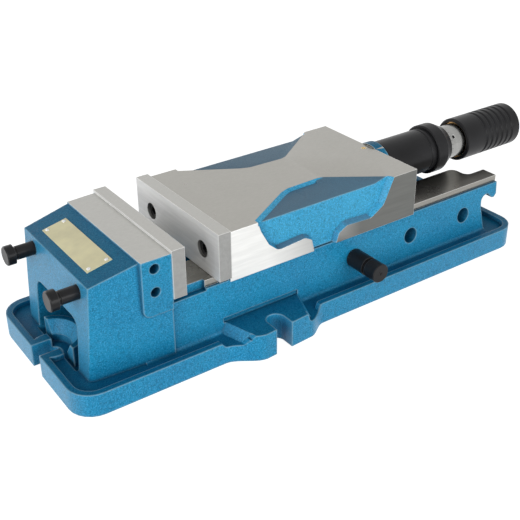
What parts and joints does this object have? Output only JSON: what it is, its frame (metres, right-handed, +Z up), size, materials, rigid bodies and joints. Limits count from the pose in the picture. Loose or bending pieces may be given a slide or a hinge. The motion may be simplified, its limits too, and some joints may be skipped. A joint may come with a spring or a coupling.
{
  "type": "hydraulic machine vise",
  "caption": "Machine vise with a fixed jaw, a movable jaw sliding on ground ways and a hydraulic power spindle with a grooved handle.",
  "frame": {"origin": "on the underside, at the middle, under the fixed jaw plate's clamping face", "axes": "+X from the fixed jaw to the handle, +Z up, the position pin's knob on the -Y side"},
  "size_m": [0.6483, 0.2295, 0.135],
  "materials": {
    "paint": "hammered blue enamel over cast iron, with ground bare faces",
    "plate_steel": "ground hardened steel",
    "black_steel": "black oxide on steel",
    "plate_cream": "cream satin nameplate, left bare",
    "rivet_metal": "satin",
    "cast_iron": "machined ductile iron",
    "bronze": "machined bronze",
    "brass": "polished",
    "bright_steel": "turned and polished",
    "spring_steel": "oiled spring steel",
    "seal_rubber": "smooth seal rubber"
  },
  "bodies": {
    "base": {"base_casting": "paint", "fixed_jaw_plate": "plate_steel", "fixed_jaw_screws": "black_steel", "front_studs": "black_steel", "nameplate": "plate_cream", "nameplate_rivets": "rivet_metal", "anchor_block": "cast_iron"},
    "pin": {"position_pin": "black_steel"},
    "movable_jaw": {"movable_jaw": "paint", "movable_jaw_plate": "plate_steel", "movable_jaw_screws": "black_steel", "keeper_near": "black_steel", "keeper_far": "black_steel", "keeper_screws": "black_steel", "rear_bush": "bronze", "thrust_pad": "bronze", "ball_oiler": "brass"},
    "spindle": {"lead_screw": "bright_steel", "spindle_sleeve": "black_steel", "pull_ring": "black_steel", "thrust_bearing": "bright_steel", "collar_nut": "black_steel", "graduated_barrel": "bright_steel", "cylinder_head": "bright_steel", "rod_seal": "seal_rubber", "clutch_shoe": "bronze", "clutch_screw": "black_steel"},
    "output_piston": {"output_piston": "bright_steel", "piston_seal": "seal_rubber", "disc_springs": "spring_steel"},
    "primary_rod": {"primary_rod": "bright_steel", "thrust_ball": "bright_steel"},
    "handle": {"handle_sleeve": "black_steel", "handle_bush": "bronze", "primary_screw": "bright_steel", "lock_pin": "bright_steel"}
  },
  "joints": [
    {"name": "jaw_slide", "type": "slide", "parent": "base", "child": "movable_jaw", "axis": [1, 0, 0], "range_m": [-0.0366, 0.0841]},
    {"name": "spindle_spin", "type": "hinge", "parent": "movable_jaw", "child": "spindle", "pos_m": [0.3, 0, 0.1055], "axis": [1, 0, 0], "range_deg": [-2628, 6048]},
    {"name": "output_stroke", "type": "slide", "parent": "spindle", "child": "output_piston", "axis": [-1, 0, 0], "range_m": [0, 0.0019], "deforming": ["disc_springs"]},
    {"name": "power_stroke", "type": "slide", "parent": "spindle", "child": "primary_rod", "axis": [-1, 0, 0], "range_m": [0, 0.02401]},
    {"name": "power_turn", "type": "hinge", "parent": "primary_rod", "child": "handle", "pos_m": [0.45, 0, 0.1055], "axis": [-1, 0, 0], "range_deg": [0, 2160]},
    {"name": "pin_pull", "type": "slide", "parent": "base", "child": "pin", "axis": [0, -1, 0], "range_m": [0, 0.15]}
  ],
  "couplings": [
    {"joint": "jaw_slide", "follows": "spindle_spin", "m_per_rad": 0.00079577},
    {"joint": "power_stroke", "follows": "power_turn", "m_per_rad": 0.00063662},
    {"joint": "output_stroke", "follows": "power_turn", "m_per_rad": 0.000049122}
  ]
}
